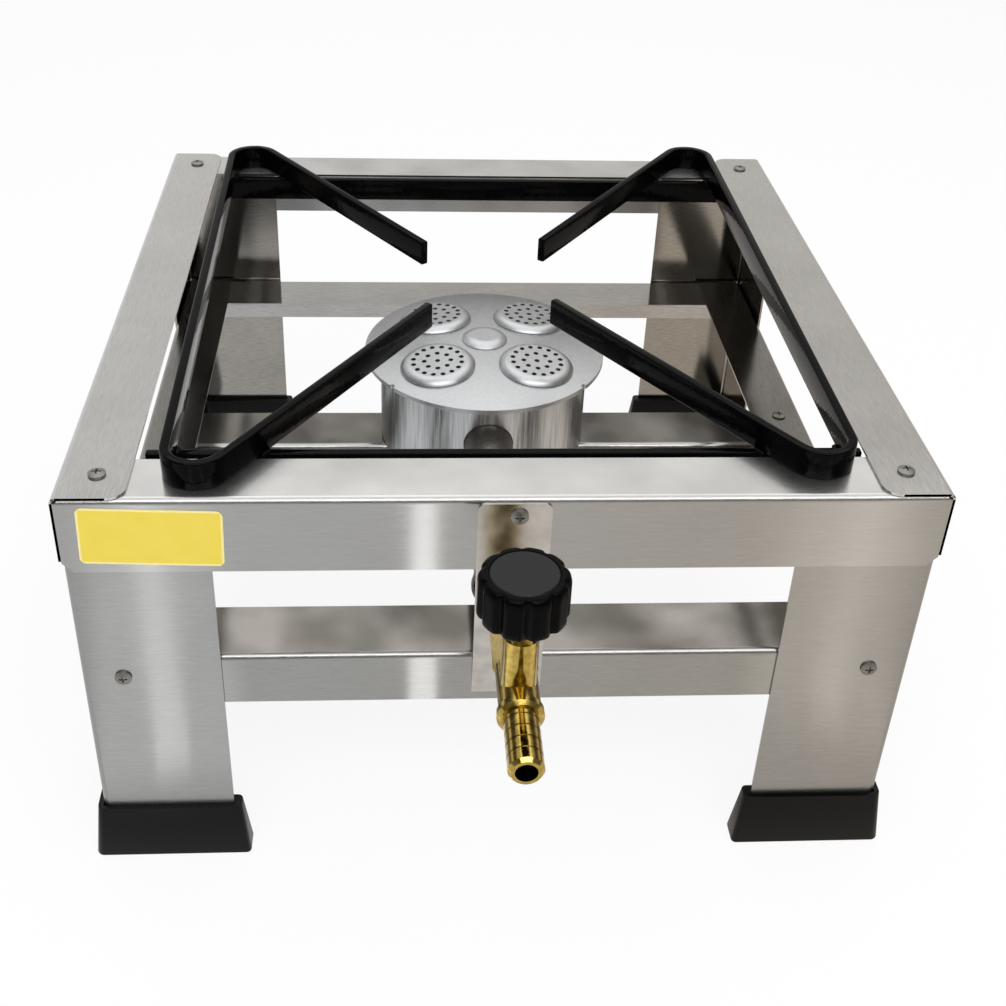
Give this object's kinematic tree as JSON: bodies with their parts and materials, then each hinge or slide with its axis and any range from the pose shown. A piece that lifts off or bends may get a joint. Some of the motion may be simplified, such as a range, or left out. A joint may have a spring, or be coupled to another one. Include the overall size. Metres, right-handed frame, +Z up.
{
  "type": "high-pressure gas burner",
  "caption": "Free-standing square stainless stand with a round gas burner, a lift-off black grate on top, and a brass needle valve with knob and hose barb in front.",
  "frame": {"origin": "on the floor, under the middle of the overall box from the hose barb's front to the back feet", "axes": "+X to the right seen from the valve side, +Y to the back away from the valve, +Z up"},
  "size_m": [0.4096, 0.504, 0.2355],
  "materials": {
    "stainless_sheet": "bent stainless sheet, brushed along its length",
    "foot_plastic": "moulded satin black",
    "fastener_steel": "plain stainless",
    "cast_aluminium": "turned cast aluminium, satin",
    "pipe_steel": "zinc-plated pipe",
    "polished_steel": "polished strip",
    "brass": "turned, lightly polished",
    "seal_rubber": "moulded ring",
    "knob_plastic": "moulded black phenolic",
    "disc_plastic": "dark grey satin disc",
    "black_enamel": "gloss black enamel on flat bar",
    "sticker_vinyl": "blank yellow vinyl film"
  },
  "bodies": {
    "stand": {"front_rail": "stainless_sheet", "back_rail": "stainless_sheet", "left_side_rail": "stainless_sheet", "right_side_rail": "stainless_sheet", "front_left_leg": "stainless_sheet", "front_right_leg": "stainless_sheet", "back_left_leg": "stainless_sheet", "back_right_leg": "stainless_sheet", "front_left_foot": "foot_plastic", "front_right_foot": "foot_plastic", "back_left_foot": "foot_plastic", "back_right_foot": "foot_plastic", "front_brace": "stainless_sheet", "back_brace": "stainless_sheet", "left_brace": "stainless_sheet", "right_brace": "stainless_sheet", "burner_bar": "stainless_sheet", "rail_screws": "fastener_steel", "rail_nuts": "fastener_steel", "leg_screws": "fastener_steel", "leg_nuts": "fastener_steel", "bar_screws": "fastener_steel", "bar_nuts": "fastener_steel", "burner_base": "cast_aluminium", "burner_cap": "cast_aluminium", "burner_bolt": "fastener_steel", "bolt_washer": "fastener_steel", "mixing_tube": "pipe_steel", "valve_bracket": "polished_steel", "bracket_screw": "fastener_steel", "bracket_nut": "fastener_steel", "valve_body": "brass", "valve_lock_nut": "brass", "injector": "brass", "hose_barb": "brass", "gland_nut": "brass", "front_sticker": "sticker_vinyl"},
    "seal": {"spindle_seal": "seal_rubber"},
    "tap": {"valve_spindle": "brass", "knob": "knob_plastic", "knob_screw": "fastener_steel", "knob_disc": "disc_plastic"},
    "grate": {"left_hairpin": "black_enamel", "right_hairpin": "black_enamel", "grate_front_bar": "black_enamel", "grate_back_bar": "black_enamel"}
  },
  "joints": [
    {"name": "tap_rise", "type": "slide", "parent": "stand", "child": "seal", "axis": [0, 0, 1], "range_m": [0, 0.002]},
    {"name": "tap_turn", "type": "hinge", "parent": "seal", "child": "tap", "pos_m": [0.002, -0.2043, 0.2], "axis": [0, 0, 1], "range_deg": [0, 720]},
    {"name": "grate_lift", "type": "slide", "parent": "stand", "child": "grate", "axis": [0, 0, 1], "range_m": [0, 0.06]}
  ],
  "couplings": [
    {"joint": "tap_rise", "follows": "tap_turn", "m_per_rad": 0.000159}
  ]
}
